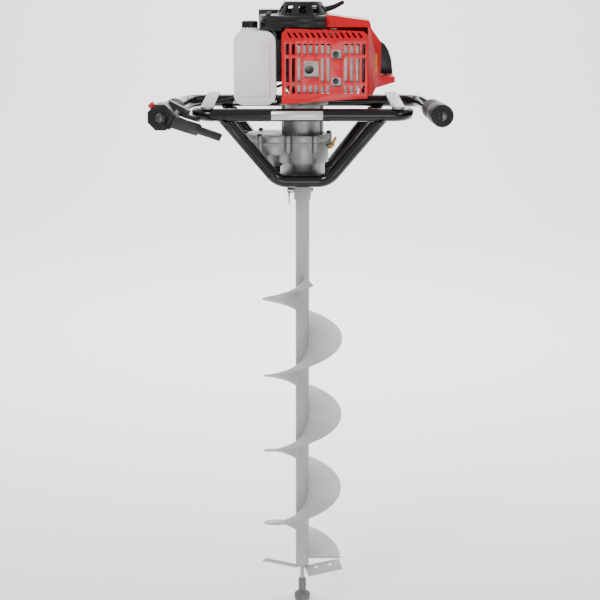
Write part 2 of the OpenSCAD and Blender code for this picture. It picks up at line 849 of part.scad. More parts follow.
module fan_shroud() {
    color("black")
    difference() {
        union() {
            difference() {
                union() {
                    translate([0, 0, crankcase_top]) cylinder(r = shroud_low_r, h = 18);
                    translate([0, 0, shroud_floor]) cylinder(r = shroud_r,
                        h = shroud_top - shroud_floor);
                }
                translate([0, 0, crankcase_top + 3]) cylinder(r = shroud_low_r - 2.2, h = 60);
                translate([0, 0, shroud_floor + 2.5]) cylinder(r = shroud_r - 2.5, h = 60);
            }
            recoil_bolt_places() translate([0, 0, shroud_floor + 1]) cylinder(r = 4.3,
                h = shroud_top - shroud_floor - 1);
        }
        translate([0, 0, crankcase_top - 1]) cylinder(r = journal_d / 2 + 2, h = 20);
        block([hood_left - 0.5, -80, 1080], [100, 80, 1130]);
        block([guard_left - 0.5, -90, 1080], [100, guard_back + air_gap, guard_top + air_gap]);
        recoil_bolt_places() translate([0, 0, shroud_floor + 6]) cylinder(r = 2.55, h = 60);
    }
}

recoil_low_r = 46;
recoil_high_r = 33;
window_count = 10;

module recoil_housing() {
    color("black")
    difference() {
        union() {
            translate([0, 0, shroud_top]) cylinder(r = shroud_r - 1,
                h = recoil_flange_top - shroud_top);
            translate([0, 0, recoil_flange_top]) cylinder(r1 = recoil_low_r, r2 = recoil_high_r,
                h = recoil_top - recoil_flange_top);
        }
        translate([0, 0, shroud_top - 1]) cylinder(r = shroud_r - 14, h = 6);
        translate([0, 0, shroud_top - 1]) cylinder(r = recoil_low_r - 3,
            h = recoil_flange_top - shroud_top + 1);
        translate([0, 0, recoil_flange_top - 0.01]) cylinder(r1 = recoil_low_r - 3,
            r2 = recoil_high_r - 3, h = recoil_top - recoil_flange_top - 3);
        for (i = [0 : window_count - 1]) rotate([0, 0, (i + 0.5) * 360 / window_count])
            translate([30, -6, recoil_flange_top + 4]) cube([30, 12, 12]);
        translate([pulley_r, 20, rope_z]) rod_y(rope_d / 2 + 0.6, 0, 40);
        block([hood_left - 0.5, -80, shroud_top - 2], [100, 80, recoil_flange_top + 1]);
        recoil_bolt_places() translate([0, 0, shroud_top - 1]) cylinder(r = 2.7, h = 60);
    }
    color("black") translate([0, 0, pulley_z - 8]) ring(5, 0, 0, recoil_top - 3 - pulley_z + 8);
}

module starter_pulley() {
    color("gray")
    difference() {
        union() {
            translate([0, 0, pulley_z]) cylinder(r = 31, h = 2);
            translate([0, 0, pulley_z + 2]) cylinder(r = pulley_r - rope_d, h = 5);
            translate([0, 0, pulley_z + 7]) cylinder(r = 31, h = 2);
        }
        translate([0, 0, pulley_z - 1]) cylinder(r = 5 + run_fit, h = 20);
    }
    color("white") translate([0, 0, rope_z]) rotate_extrude()
        translate([pulley_r - rope_d / 2 - 0.1, 0]) circle(d = rope_d);
}

module starter_rope() { color("white") translate([pulley_r, 0, rope_z]) rod_y(rope_d / 2, 14,
    starter_grip_y - 6); }

grip_half = 42;
grip_bend = 13;

module starter_grip() {
    color("black")
    translate([pulley_r, starter_grip_y, rope_z]) {
        for (s = [-1, 1]) for (k = [0 : 2]) hull() {
            translate([s * grip_half * k / 3, 0, grip_bend * pow(k / 3, 2)]) sphere(r = 6 - k * 0.8,
                $fn = 24);
            translate([s * grip_half * (k + 1) / 3, 0, grip_bend * pow((k + 1) / 3, 2)])
                sphere(r = 5.2 - k * 0.8, $fn = 24);
        }
    }
}

// ---------- exhaust and covers ----------

module muffler() {
    color("silver")
    difference() {
        union() {
            block([muffler_left, muffler_front, muffler_bottom], [muffler_right, muffler_back,
                muffler_top]);
            translate([outlet_x, 0, outlet_z]) rod_y(exhaust_d / 2 + 2, muffler_front - 5,
                muffler_front);
        }
        block([muffler_left + 2, muffler_front + 2, muffler_bottom + 2], [port_x - 14,
            muffler_back - 2, muffler_top - 2]);
        block([port_x + 14, muffler_front + 2, muffler_bottom + 2], [muffler_right - 2,
            muffler_back - 2, muffler_top - 2]);
        translate([outlet_x, 0, outlet_z]) rod_y(exhaust_d / 2, muffler_front - 6, muffler_front + 10);
        translate([port_x, 0, cyl_z]) rod_y(port_r, muffler_front + 12, muffler_back + 1);
        block([port_x - 16, muffler_front + 14, cyl_z - 8], [port_x + 16, muffler_back - 6, cyl_z + 8]);
        for (s = [-1, 1]) translate([port_x, 0, cyl_z + s * stud_dz]) rod_y(3.2, muffler_front - 1,
            muffler_back + 1);
    }
}

guard_rise = 10;
guard_chamfer = 13;

module guard_solid(t) {
    intersection() {
        translate([0, guard_back, 0]) rotate([90, 0, 0])
            linear_extrude(height = guard_back - guard_front - t)
            polygon([
                [guard_left + t, guard_bottom + t], [guard_right - t, guard_bottom + guard_rise + t],
                [guard_right - t, guard_top - 12 - t], [guard_right - 8 - t, guard_top - 5 - t],
                [guard_left + 8 + t, guard_top - t], [guard_left + t, guard_top - 8 - t]]);
        translate([guard_left - 1, 0, 0]) rotate([90, 0, 90])
            linear_extrude(height = guard_w + 2)
            polygon([
                [guard_front + t, guard_bottom - 1], [guard_back + 2, guard_bottom - 1],
                [guard_back + 2, guard_top + 1], [guard_front + guard_chamfer + t, guard_top + 1],
                [guard_front + guard_chamfer + t, guard_top - t], [guard_front + t,
                    guard_top - guard_chamfer - t]]);
    }
}

// Rows of slots as lower and upper heights
slot_rows = [[1073, 1091], [1026.5, 1067], [1007.5, 1020.6]];
outlet_window = [[2, 1034], [28, 1062]];
bolt_windows = [[[50, 1065], [67, 1081]], [[50, 1019], [67, 1034]]];

module muffler_cover() {
    color("red")
    difference() {
        guard_solid(0);
        translate([0, 0.01, 0]) guard_solid(cover_t);
        for (row = slot_rows) for (i = [0 : 13]) {
            x = slot_first + i * slot_pitch;
            in_outlet = x > outlet_window[0][0] - 2 && x < outlet_window[1][0] + 2 && row[1] == 1067;
            in_bolt = x > 45 && x < 70 && row[1] < 1092;
            if (!in_outlet && !in_bolt)
                block([x, guard_front - 1, row[0]], [x + slot_w, guard_front + cover_t + 1, row[1]]);
        }
        for (w = concat([outlet_window], bolt_windows))
            block([w[0][0], guard_front - 1, w[0][1]], [w[1][0], guard_front + cover_t + 1, w[1][1]]);
        for (i = [0 : 12]) translate([guard_left + 14 + i * 10, guard_front + 3, guard_top - 14])
            rotate([0, -35, 0]) block([0, -6, -2], [3, 8, 20]);
    }
}

module hood_outline(t) {
    polygon([
        [hood_left, 1138 - t], [116 - t, 1128 - t], [119 - t, 1115], [136 - t, 1092], [136 - t,
            1033 - t],
        [161 - t, 1033 - t], [161 - t, 1023 + t], [128, 1013 + t], [122, 1000 + t], [100, 1000 + t],
            [hood_left, 1000 + t]]);
}

module hood_solid(t) {
    intersection() {
        translate([0, hood_back - t, 0]) rotate([90, 0, 0])
            linear_extrude(height = 2 * (hood_back - t)) hood_outline(t);
        rotate([90, 0, 90]) linear_extrude(height = 200)
            polygon([
                [-hood_back + t, 990], [hood_back - t, 990], [hood_back - t, 1118 - t],
                    [hood_back - 14 - t, 1140 - t],
                [-hood_back + 14 + t, 1140 - t], [-hood_back + t, 1118 - t]]);
    }
}

module cylinder_cover() {
    color("red")
    difference() {
        hood_solid(0);
        translate([-1.5, 0, 0]) hood_solid(cover_t);
        block([hood_left - 1, -100, 990], [guard_right + air_gap, guard_back + air_gap,
            guard_top + 0.8]);
        block([hood_left - 10, -50, 1095], [shroud_r + air_gap, 50, 1127]);
        translate([0, 0, recoil_flange_top - 6]) cylinder(r = recoil_low_r + air_gap, h = 20);
        block([120, -17, 1028], [140, 17, 1098]);
        block([hood_left - 1, 50, cyl_z - 24], [84, 70, cyl_z + 34]);
        block([hood_left - 1, -200, 985], [105, 200, 1006]);
    }
}

// ---------- fuel and air ----------

module carburettor() {
    color("silver")
    difference() {
        union() {
            block([44, 60.5, cyl_z - 17], [76, 92, cyl_z + 17]);
            translate([port_x, 0, cyl_z]) rod_y(15, 46.2, 61);
            translate([60, 76, cyl_z + 16]) cylinder(r = 6, h = 4);
        }
        translate([port_x, 0, cyl_z]) rod_y(8, 40, 100);
        translate([60, 76, cyl_z + 10]) cylinder(r = 2.5 + run_fit, h = 20);
        translate(choke_at) rod_x(2.5 + run_fit, -7, 5);
    }
}

arm_reach = 23;

module throttle_arm() {
    color("goldenrod")
    translate([60, 76, cyl_z + 10.2]) {
        cylinder(r = 2.5, h = 13);
        translate([0, 0, 10.2]) difference() {
            union() {
                cylinder(r = 5, h = 3);
                block([-4, -arm_reach, 0], [4, 0, 3]);
                translate([0, -arm_reach, 0]) cylinder(r = 4, h = 3);
            }
            translate([0, -arm_reach, -1]) cylinder(r = 1.6, h = 10);
        }
    }
}

choke_at = [76, 85, cyl_z + 8];

module choke_lever() {
    color("black")
    translate(choke_at) {
        rod_x(2.5, -6, 5);
        translate([1, 0, 0]) rotate([-15, 0, 0]) block([0, -4, -5], [3, 4, 30]);
    }
}

filter_box = [[-60, 92.3, 1010], [74, 128, 1106]];
snorkel = [[-80, 78, 1108], [-43, 118, 1142]];

module air_filter_cover() {
    color("black")
    difference() {
        union() {
            block(filter_box[0], filter_box[1]);
            block(snorkel[0], snorkel[1]);
            block([-80, 96, 1080], [-39, 118, 1142]);
        }
        block(filter_box[0] + [3, 3, 3], filter_box[1] - [3, 3, 3]);
        block(snorkel[0] + [3, 3, 3], snorkel[1] - [3, 3, 3]);
        block([-77, 99, 1083], [-36, 115, 1139]);
        translate([port_x, 0, cyl_z]) rod_y(9, 90, 97);
    }
}

module air_filter_element() {
    color("tan")
    difference() {
        block(filter_box[0] + [8, 3.2, 8], filter_box[1] - [8, 8, 8]);
        translate([port_x, 0, cyl_z]) rod_y(12, 90, 118);
    }
}

module rounded_square(low, high, r) {
    translate([low[0] + r, low[1]]) square([high[0] - low[0] - 2 * r, high[1] - low[1]]);
    translate([low[0], low[1] + r]) square([high[0] - low[0], high[1] - low[1] - 2 * r]);
    for (x = [low[0] + r, high[0] - r]) for (y = [low[1] + r, high[1] - r]) translate([x, y])
        circle(r = r);
}

// The tank's round-cornered solid, smaller all over by t
module tank_solid(t) {
    low = tank_box[0] + [t, t, t];
    high = tank_box[1] - [t, t, t];
    translate([0, high[1], 0]) rotate([90, 0, 0]) linear_extrude(height = high[1] - low[1])
        rounded_square([low[0], low[2]], [high[0], high[2]], 18 - t);
}

module fuel_tank() {
    color("white")
    difference() {
        union() {
            tank_solid(0);
            translate([cap_x, cap_y, 1090]) cylinder(r = fuel_cap_d / 2 - 4, h = cap_z + 12 - 1090);
        }
        tank_solid(2.2);
        translate([cap_x, cap_y, 1090]) cylinder(r = fuel_cap_d / 2 - 7, h = 60);
    }
}

module fuel_cap() {
    color("black")
    translate([cap_x, cap_y, cap_z]) difference() {
        union() {
            cylinder(d = fuel_cap_d, h = 14);
            for (i = [0 : 11]) rotate([0, 0, i * 30]) translate([fuel_cap_d / 2 - 1, -1.5, 0])
                cube([2.2, 3, 13]);
        }
        translate([0, 0, -1]) cylinder(r = fuel_cap_d / 2 - 4 + run_fit + 0.1, h = 13.2);
    }
}

module tank_bracket() {
    color("black")
    difference() {
        union() {
            block([-124, -30, 979.4], [-neck_flange_r - 0.5, 30, 982.7]);
            block([-62, -8, neck_top - 11.2], [-32, 8, neck_top - 8.2]);
            block([-62, -8, neck_top - 11.2], [-54, 8, 980]);
        }
        translate([0, 0, 970]) cylinder(r = neck_r + 0.3, h = 20);
    }
}

module fuel_line() { color("black") tube_along(fuel_route, 2.5, 8); }

// ---------- controls ----------

module on_tube(s) {
    translate([s * handle_end_x, -handle_end_y, handle_bar_z]) rotate([0, 0, s * splay]) children();
}

module grip(len) {
    difference() {
        union() {
            translate([0, -6, 0]) rod_y(grip_d / 2, 0, 6 + len * 0.42);
            for (i = [0 : 8]) translate([0, len * 0.42 + i * len * 0.062, 0])
                rod_y(grip_d / 2 - 1.5, 0, 4);
            rod_y(grip_d / 2 - 3.5, 0, len);
        }
        rod_y(tube_r + 0.03, 0, len + 1);
        rod_y(5, -8, 1);
    }
}

module right_grip() {
    color("black") on_tube(1) grip(grip_len);
    color("dimgray") on_tube(1) translate([0, -6, 0]) rotate([90, 0, 0]) cylinder(r = 8, h = 5,
        $fn = 6);
    color("dimgray") on_tube(1) rod_y(4.9, -6, 16);
}

module left_grip() {
    color("black") on_tube(-1) translate([0, 22, 0]) difference() {
        union() {
            for (i = [0 : 10]) translate([0, 4 + i * 9, 0]) rod_y(grip_d / 2 - 1.5, 0, 5.5);
            rod_y(grip_d / 2 - 3.5, 0, 104);
            rod_y(grip_d / 2, 0, 5);
        }
        rod_y(tube_r + 0.03, -1, 105);
    }
}

module in_lever_plane(pivot, rest) {
    translate(pivot) rotate([0, lever_tilt, 0]) rotate([0, 0, rest]) children();
}

lever_half = 10;
safety_low = 10.6;
safety_high = 18;
pivot_r = 3;
button = [11, 13, 9];
button_seat = 20.8;

// The space that a lever sweeps beside the housing
module lever_room(half, z0, z1) {
    translate([0, 0, z0]) linear_extrude(height = z1 - z0)
        polygon([[-half, -half], [70, -half - 4], [70, 62], [40, 52], [-half, half]]);
}

module at_button() {
    translate([0, -6, 0]) rotate([0, -45, 0]) translate([0, 0, button_seat]) children();
}

module throttle_housing() {
    color("black") {
        difference() {
            union() {
                on_tube(-1) {
                    rotate([90, 0, 0]) rotate([0, 0, 22.5]) translate([0, 0, -21])
                        cylinder(d = housing_d + 4, h = housing_len, $fn = 8);
                }
                in_lever_plane(lever_pivot, 0) block([-18, -8, -lever_half - 3.4], [8, 8,
                    lever_half + 3.4]);
                in_lever_plane(safety_pivot, 0) block([-30, -9, safety_high + 0.4], [9, 9,
                    safety_high + 8]);
            }
            on_tube(-1) {
                rod_y(tube_r + 0.03, 0, 22);
                rod_y(3.05, -33, 1);
                at_button() translate([-6, -7, -3.6]) cube([12, 14, 20]);
            }
            in_lever_plane(lever_pivot, lever_rest) lever_room(9.3, -lever_half - 0.4,
                lever_half + 0.4);
            in_lever_plane(safety_pivot, lever_rest + 6) lever_room(7.3, safety_low - 0.2,
                safety_high + 0.4);
        }
        in_lever_plane(lever_pivot, 0) translate([0, 0, -lever_half - 2]) cylinder(r = pivot_r,
            h = 2 * lever_half + 4);
        in_lever_plane(safety_pivot, 0) translate([0, 0, safety_low]) cylinder(r = 2.5,
            h = safety_high - safety_low + 3);
    }
    color("dimgray") on_tube(-1) {
        translate([0, -31.2, 0]) rotate([90, 0, 0]) cylinder(r = 8, h = 5, $fn = 6);
        rod_y(3, -32, -1);
    }
}

module throttle_lever() {
    color("black")
    in_lever_plane(lever_pivot, lever_rest)
        difference() {
            union() {
                translate([0, 0, -lever_half]) cylinder(r = 8, h = 2 * lever_half);
                linear_extrude(height = 2 * lever_half, center = true)
                    polygon([[0, -8], [40, -5], [70, 0], [70, 8], [40, 4], [0, 8]]);
                translate([68, 0, 0]) linear_extrude(height = 13, center = true)
                    polygon([[0, 0], [40, 3], [56, 3], [58, 7], [55, 10], [38, 10], [0, 8]]);
            }
            translate([0, 0, -30]) cylinder(r = pivot_r + run_fit, h = 60);
        }
}

module safety_lever() {
    color("black")
    in_lever_plane(safety_pivot, lever_rest + 6)
        difference() {
            translate([0, 0, safety_low]) linear_extrude(height = safety_high - safety_low) {
                circle(r = 6);
                polygon([[0, -6], [30, -5], [44, 0], [45, 6], [34, 8], [0, 6]]);
            }
            cylinder(r = 2.5 + run_fit, h = 40);
        }
}

module stop_button() {
    color("red") on_tube(-1) at_button() translate([-button[0] / 2, -button[1] / 2, 0]) cube(button);
}

function halves(a, b, c, d) = [[a, b, c], [a, c, d]];

// A round cord along its own points, as rings square to the route
function unit(v) = v / norm(v);
function route_dir(p, i) = unit(p[min(i + 1, len(p) - 1)] - p[max(i - 1, 0)]);
function ring_at(p, i, r, n) =
    let (d = route_dir(p, i), u = unit(cross(d, [0, 0.2, 1])), w = cross(d, u))
    [for (k = [0 : n - 1]) p[i] + r * (cos(k * 360 / n) * u + sin(k * 360 / n) * w)];

module tube_along(p, r, n) {
    m = len(p);
    polyhedron(
        points = [for (i = [0 : m - 1]) each ring_at(p, i, r, n)],
        faces = concat(
            [[for (k = [0 : n - 1]) k]],
            [for (i = [0 : m - 2]) for (k = [0 : n - 1])
                each halves(i * n + k, (i + 1) * n + k, (i + 1) * n + (k + 1) % n, i * n + (k + 1)
                    % n)],
            [[for (k = [n - 1 : -1 : 0]) (m - 1) * n + k]]));
}

module throttle_cable() { color("black") tube_along(cable_route, cable_d / 2, 10); }

// ---------- screw ----------

module auger_tube() {
    color("lightgray")
    difference() {
        union() {
            translate([0, 0, tube_bottom]) cylinder(d = tube_d, h = socket_bottom - tube_bottom + 2);
            translate([0, 0, socket_bottom]) cylinder(d = socket_d, h = socket_top - socket_bottom);
            translate([0, 0, spike_bottom]) cylinder(d = spike_d, h = tube_bottom - spike_bottom + 1);
        }
        translate([0, 0, tube_bottom + 8]) cylinder(d = tube_d - 5,
            h = socket_bottom - tube_bottom - 12);
        translate([0, 0, socket_bottom + 3]) cylinder(r = shaft_d / 2 + 0.08, h = 80);
        translate([0, 0, pin_z]) rod_x(pin_d / 2 + 0.1, -40, 40);
    }
}

flight_steps = 24;
flight_span = floor(flight_turns * flight_steps);
flight_in = tube_d / 2 + 0.15;

module auger_flight() {
    color("lightgray")
    polyhedron(
        points = [for (i = [0 : flight_span])
            let (a = i * 360 / flight_steps, z = flight_base_z + flight_pitch * i / flight_steps)
            each [
                [flight_in * cos(a), flight_in * sin(a), z - flight_t / 2],
                [auger_d / 2 * cos(a), auger_d / 2 * sin(a), z - flight_t / 2],
                [auger_d / 2 * cos(a), auger_d / 2 * sin(a), z + flight_t / 2],
                [flight_in * cos(a), flight_in * sin(a), z + flight_t / 2]]],
        faces = concat(
            [[0, 1, 2, 3]],
            [for (i = [0 : flight_span - 1]) for (k = [0 : 3])
                each halves(i * 4 + k, (i + 1) * 4 + k, (i + 1) * 4 + (k + 1) % 4, i * 4 + (k + 1)
                    % 4)],
            [[for (k = [3 : -1 : 0]) flight_span * 4 + k]]));
}

blade_slope = 36;
blade_rise = 12;
blade_t = 3.5;

module cutting_blades() {
    color("gray")
    for (a = [0, 180]) rotate([0, 0, a])
        translate([0, 0, flight_base_z - auger_d / 2 * tan(blade_rise)])
        rotate([0, -blade_rise, 0])
        rotate([blade_slope, 0, 0])
        translate([0, 0, -blade_t])
        difference() {
            linear_extrude(height = blade_t)
                polygon([[3.2, -2], [auger_d / 2 - 2, -2], [auger_d / 2 + 2, -blade_chord], [9,
                    -blade_chord - 2]]);
            for (x = [26, 54]) translate([x, -9, -1]) cylinder(r = 3.1, h = 10);
        }
}

module tip_cap() {
    color("dimgray")
    difference() {
        union() {
            translate([0, 0, 11]) cylinder(r = 7.5, h = tip_cap_top - 11);
            translate([0, 0, 6]) cylinder(r = 15.5, h = 10);
            cylinder(r1 = 10, r2 = 15.5, h = 6);
            translate([0, 0, 16]) cylinder(r1 = 15.5, r2 = 8, h = 6);
        }
        translate([0, 0, spike_bottom - 1]) cylinder(r = spike_d / 2 + run_fit, h = 40);
    }
}

module hitch_pin() {
    color("silver")
    translate([0, 0, pin_z]) {
        rod_x(pin_d / 2, -22, 20);
        difference() {
            rod_x(6, -28, -socket_d / 2 - 0.5);
            translate([-24.5, 0, -3]) rod_y(2, -10, 10);
        }
        translate([-24.5, 0, -14]) rotate([0, 90, 0]) rotate_extrude() translate([11, 0])
            circle(r = 1.4);
    }
}

front_bar();
handle_bar();
side_straps();
front_hoop();
rear_hoop();
base_plate();
label_plate();
lower_gear_case();
upper_gear_case();
bearings();
grease_fitting();
clutch_drum();
layshaft();
layshaft_gear();
output_gear();
output_shaft();
bolts();
clutch_housing();
clutch_hub();
clutch_shoe_left();
clutch_shoe_right();
crankcase_lower();
crankcase_upper();
crankshaft();
connecting_rod();
piston();
engine_cylinder();
spark_plug();
plug_cap();
flywheel();
ignition_coil();
muffler();
muffler_cover();
cylinder_cover();
carburettor();
throttle_arm();
choke_lever();
air_filter_cover();
air_filter_element();
fan_shroud();
recoil_housing();
starter_pulley();
starter_rope();
starter_grip();
fuel_tank();
fuel_cap();
tank_bracket();
fuel_line();
left_grip();
right_grip();
throttle_housing();
throttle_lever();
safety_lever();
stop_button();
throttle_cable();
auger_tube();
auger_flight();
cutting_blades();
tip_cap();
hitch_pin();
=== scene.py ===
import json
from math import radians, pi, sin, cos

import bmesh
import bpy
from mathutils import Matrix, Vector


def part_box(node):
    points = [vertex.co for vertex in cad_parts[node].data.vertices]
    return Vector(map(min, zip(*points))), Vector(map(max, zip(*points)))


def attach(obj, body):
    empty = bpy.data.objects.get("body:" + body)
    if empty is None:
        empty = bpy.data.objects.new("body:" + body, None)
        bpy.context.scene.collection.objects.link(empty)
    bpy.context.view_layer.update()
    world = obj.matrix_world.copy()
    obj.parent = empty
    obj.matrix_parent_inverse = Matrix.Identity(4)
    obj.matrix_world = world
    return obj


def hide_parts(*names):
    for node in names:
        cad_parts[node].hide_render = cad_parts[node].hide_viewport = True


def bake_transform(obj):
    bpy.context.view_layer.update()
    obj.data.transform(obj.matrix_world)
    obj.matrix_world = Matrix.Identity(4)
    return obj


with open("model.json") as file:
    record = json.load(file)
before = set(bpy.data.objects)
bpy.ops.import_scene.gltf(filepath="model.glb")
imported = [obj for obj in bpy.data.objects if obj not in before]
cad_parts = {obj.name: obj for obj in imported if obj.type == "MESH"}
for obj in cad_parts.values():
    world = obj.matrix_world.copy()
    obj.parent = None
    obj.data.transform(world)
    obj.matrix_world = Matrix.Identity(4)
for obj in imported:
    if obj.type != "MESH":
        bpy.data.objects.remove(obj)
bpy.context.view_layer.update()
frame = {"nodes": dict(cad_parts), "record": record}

# The camera stands in front of the machine and a little above the engine, and
# looks down at the drill point on the floor.
camera = bpy.data.objects.new("camera", bpy.data.cameras.new("camera"))
camera.data.lens = 78
camera.data.sensor_width = 36
camera.location = (-0.0045, -2.35, 1.223)
camera.rotation_euler = (radians(90 - 14.5), 0, 0)
bpy.context.collection.objects.link(camera)
bpy.context.scene.camera = camera


# ---- carrying frame ----
# Two bent steel tubes, two hoops and the gearbox plate, all welded up and then
# coated with a thick glossy black paint that hangs a little at the welds.

def finish(name, colour, rough=0.4, metal=0.0, coat=0.0, patch=30, spread=0.1, grain=900, relief=0.08,
           shine=0.4, scuff=0.0, scuff_colour=(0.5, 0.5, 0.5), stretch=(1, 1, 1)):
    """A finish with patchy colour and sheen, a fine surface grain and a few scuffs."""
    material = bpy.data.materials.new(name)
    material.use_nodes = True
    nodes, links = material.node_tree.nodes, material.node_tree.links
    shader = nodes["Principled BSDF"]
    shader.inputs["Metallic"].default_value = metal
    shader.inputs["Coat Weight"].default_value = coat
    shader.inputs["Coat Roughness"].default_value = 0.08
    shader.inputs["Specular IOR Level"].default_value = shine
    coords = nodes.new("ShaderNodeTexCoord")
    place = nodes.new("ShaderNodeMapping")
    place.inputs["Scale"].default_value = stretch
    links.new(coords.outputs["Object"], place.inputs["Vector"])
    patches = nodes.new("ShaderNodeTexNoise")
    patches.inputs["Scale"].default_value = patch
    patches.inputs["Detail"].default_value = 5
    links.new(place.outputs["Vector"], patches.inputs["Vector"])
    tones = nodes.new("ShaderNodeValToRGB")
    tones.color_ramp.elements[0].position = 0.3
    tones.color_ramp.elements[1].position = 0.7
    tones.color_ramp.elements[0].color = [c * (1 - spread) for c in colour] + [1]
    tones.color_ramp.elements[1].color = [min(1, c * (1 + spread)) for c in colour] + [1]
    links.new(patches.outputs["Fac"], tones.inputs["Fac"])
    sheen = nodes.new("ShaderNodeMapRange")
    sheen.inputs["To Min"].default_value = max(0.03, rough * 0.8)
    sheen.inputs["To Max"].default_value = min(1, rough * 1.25)
    links.new(patches.outputs["Fac"], sheen.inputs["Value"])
    links.new(sheen.outputs["Result"], shader.inputs["Roughness"])
    fine = nodes.new("ShaderNodeTexNoise")
    fine.inputs["Scale"].default_value = grain
    fine.inputs["Detail"].default_value = 3
    links.new(place.outputs["Vector"], fine.inputs["Vector"])
    bump = nodes.new("ShaderNodeBump")
    bump.inputs["Strength"].default_value = relief
    bump.inputs["Distance"].default_value = 0.0006
    links.new(fine.outputs["Fac"], bump.inputs["Height"])
    links.new(bump.outputs["Normal"], shader.inputs["Normal"])
    if scuff:
        marks = nodes.new("ShaderNodeTexNoise")
        marks.inputs["Scale"].default_value = patch * 5
        marks.inputs["Detail"].default_value = 8
        marks.inputs["Roughness"].default_value = 0.75
        links.new(place.outputs["Vector"], marks.inputs["Vector"])
        worn = nodes.new("ShaderNodeValToRGB")
        worn.color_ramp.elements[0].position = 0.62
        worn.color_ramp.elements[1].position = 0.68
        worn.color_ramp.elements[1].color = (scuff, scuff, scuff, 1)
        links.new(marks.outputs["Fac"], worn.inputs["Fac"])
        mix = nodes.new("ShaderNodeMix")
        mix.data_type = "RGBA"
        links.new(worn.outputs["Color"], mix.inputs["Factor"])
        links.new(tones.outputs["Color"], mix.inputs["A"])
        mix.inputs["B"].default_value = (*scuff_colour, 1)
        links.new(mix.outputs["Result"], shader.inputs["Base Color"])
    else:
        links.new(tones.outputs["Color"], shader.inputs["Base Color"])
    return material


body_of = {node: body for body, nodes in frame["record"]["behaviour"]["bodies"].items() for node in nodes}
slot_of = {row["node"]: row["material_slot"] for row in frame["record"]["subparts"]}


def alone(piece):
    bpy.ops.object.select_all(action="DESELECT")
    piece.select_set(True)
    bpy.context.view_layer.objects.active = piece


def apply_modifiers(piece):
    alone(piece)
    for modifier in list(piece.modifiers):
        bpy.ops.object.modifier_apply(modifier=modifier.name)


def bevelled(node, width, material, steps=2, corner=40):
    """A copy of a CAD part with merged corners and rounded edges, shown in the part's place."""
    piece = frame["nodes"][node].copy()
    piece.data = piece.data.copy()
    piece.name = node + "_finished"
    piece.parent = None
    piece.matrix_world = Matrix.Identity(4)
    bpy.context.collection.objects.link(piece)
    alone(piece)
    bpy.ops.object.mode_set(mode="EDIT")
    bpy.ops.mesh.select_all(action="SELECT")
    bpy.ops.mesh.remove_doubles(threshold=0.00001)
    bpy.ops.mesh.dissolve_limited(angle_limit=radians(0.5))
    bpy.ops.object.mode_set(mode="OBJECT")
    if width:
        bevel = piece.modifiers.new("edges", "BEVEL")
        bevel.width = width
        bevel.segments = steps
        bevel.limit_method = "ANGLE"
        bevel.angle_limit = radians(corner)
        bevel.harden_normals = False
        apply_modifiers(piece)
    alone(piece)
    bpy.ops.object.shade_smooth_by_angle(angle=radians(38))
    piece.data.materials.clear()
    piece.data.materials.append(material)
    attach(piece, body_of[node])
    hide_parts(node)
    return piece


def clad(node, material):
    """A CAD part whose own shape shows, with its finish."""
    part = frame["nodes"][node]
    for place in part.material_slots:
        place.material = material
    if not part.material_slots:
        part.data.materials.append(material)


frame_paint = finish("glossy black paint", (0.004, 0.004, 0.0045), rough=0.13, coat=0.15, patch=14,
                     spread=0.3, grain=220, relief=0.05, shine=0.35, scuff=0.2,
                     scuff_colour=(0.02, 0.02, 0.02))
for node in ("front_bar", "handle_bar", "front_hoop", "rear_hoop"):
    bevelled(node, 0, frame_paint)
bevelled("base_plate", 0.0008, frame_paint)
bead_x, bead_r, bead_wire, bead_turn = 0.139, 0.0118, 0.0017, 0.62
bead_steps, bead_sides = 48, 8
ripple_depth, ripple_count = 0.035, 14
weld_paint = finish("painted weld", (0.005, 0.005, 0.0055), rough=0.25, patch=160, spread=0.4, grain=700,
                    relief=0.5)
for side, x in (("left", -bead_x), ("right", bead_x)):
    for end, y, z, lean in (("front", -0.091, 0.9565, -0.29), ("rear", 0.0905, 0.9625, 0.29)):
        bpy.ops.object.select_all(action="DESELECT")
        bpy.ops.mesh.primitive_torus_add(location=(x, y, z),
                                         rotation=(lean, bead_turn if x < 0 else -bead_turn, 0),
                                         major_radius=bead_r, minor_radius=bead_wire,
                                         major_segments=bead_steps, minor_segments=bead_sides)
        bead = bpy.context.object
        bead.name = "weld_" + end + "_" + side
        bpy.ops.object.transform_apply(location=True, rotation=True, scale=True)
        centre = Vector((x, y, z))
        for i, vertex in enumerate(bead.data.vertices):
            ripple = 1 + ripple_depth * sin(ripple_count * (i // bead_sides) * 2 * pi / bead_steps)
            vertex.co = centre + (vertex.co - centre) * ripple
        bpy.ops.object.shade_smooth()
        bead.data.materials.append(weld_paint)
        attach(bead, "root")

# ---- side straps and bare plate ----
# Flat steel straps tie the two bars together at each side, and a bare sheet plate
# is riveted to the front bar below the engine.

